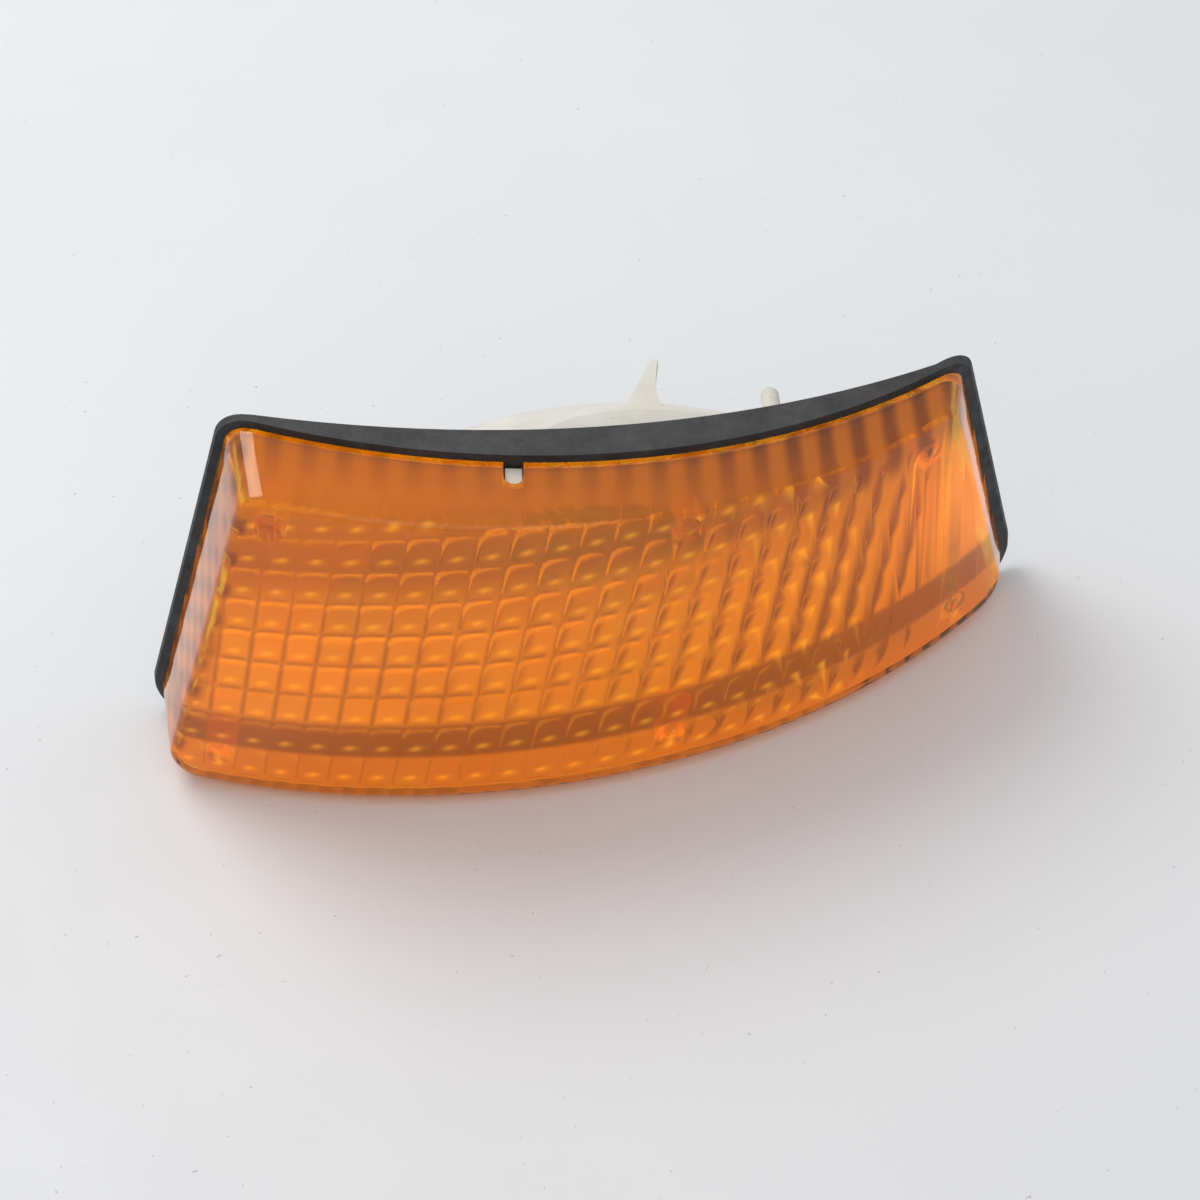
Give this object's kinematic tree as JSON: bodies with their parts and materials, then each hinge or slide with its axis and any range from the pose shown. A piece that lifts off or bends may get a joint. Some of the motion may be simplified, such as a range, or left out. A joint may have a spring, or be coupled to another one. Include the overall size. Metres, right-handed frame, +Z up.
{
  "type": "turn signal indicator",
  "caption": "Flush-mounted motorcycle turn signal with an amber wrap-around lens, rubber panel gasket, white housing and a twist-lock holder for a bayonet bulb",
  "frame": {"origin": "centre of the underside of the bounding box", "axes": "+X along the lamp towards its swept-back narrow end, +Y from the lens towards the fairing, +Z up"},
  "size_m": [0.1966, 0.095, 0.0868],
  "materials": {
    "amber_lens": "clear moulded amber acrylic with pillow optics inside",
    "white_plastic": "aged off-white moulded plastic",
    "gasket_rubber": "weathered black rubber, dusty and cracked",
    "pale_sealant": "pale bead of sealant",
    "seal_rubber": "soft dark sealing rubber",
    "zinc_steel": "zinc-plated steel",
    "insert_brass": "plain brass",
    "holder_plastic": "dark moulded nylon",
    "socket_metal": "tinned sheet",
    "bulb_glass": "thin clear glass",
    "cap_brass": "drawn brass",
    "contact_brass": "worn contact brass",
    "insulating_board": "brown insulating board",
    "black_glass": "black insulating glass",
    "tungsten": "drawn wire"
  },
  "bodies": {
    "lamp": {"lens": "amber_lens", "lens_seal": "pale_sealant", "housing": "white_plastic", "panel_gasket": "gasket_rubber", "lens_screws": "zinc_steel", "lens_screw_washers": "zinc_steel", "mounting_inserts": "insert_brass"},
    "holder": {"holder_body": "holder_plastic", "holder_seal": "seal_rubber", "socket_shell": "socket_metal", "contact_spring": "zinc_steel", "live_terminal": "contact_brass", "earth_terminal": "contact_brass"},
    "plunger": {"contact_plunger": "insulating_board", "plunger_contact": "contact_brass"},
    "bulb": {"bulb_glass": "bulb_glass", "bulb_cap": "cap_brass", "bulb_pins": "cap_brass", "bulb_insulator": "black_glass", "bulb_contact": "socket_metal", "bulb_stem": "bulb_glass", "bulb_support_wires": "tungsten", "bulb_filament": "tungsten"}
  },
  "joints": [
    {"name": "holder_turn", "type": "hinge", "parent": "lamp", "child": "holder", "pos_m": [0.00461, 0.0195, 0.0261], "axis": [0, 1, 0], "range_deg": [0, 45]},
    {"name": "contact_push", "type": "slide", "parent": "holder", "child": "plunger", "axis": [0, 1, 0], "range_m": [0, 0.0015], "stiffness_N_per_m": 3000, "springref_m": -0.002},
    {"name": "bulb_turn", "type": "hinge", "parent": "plunger", "child": "bulb", "pos_m": [0.00461, 0.0135, 0.0261], "axis": [0, 1, 0], "range_deg": [0, 22]}
  ]
}
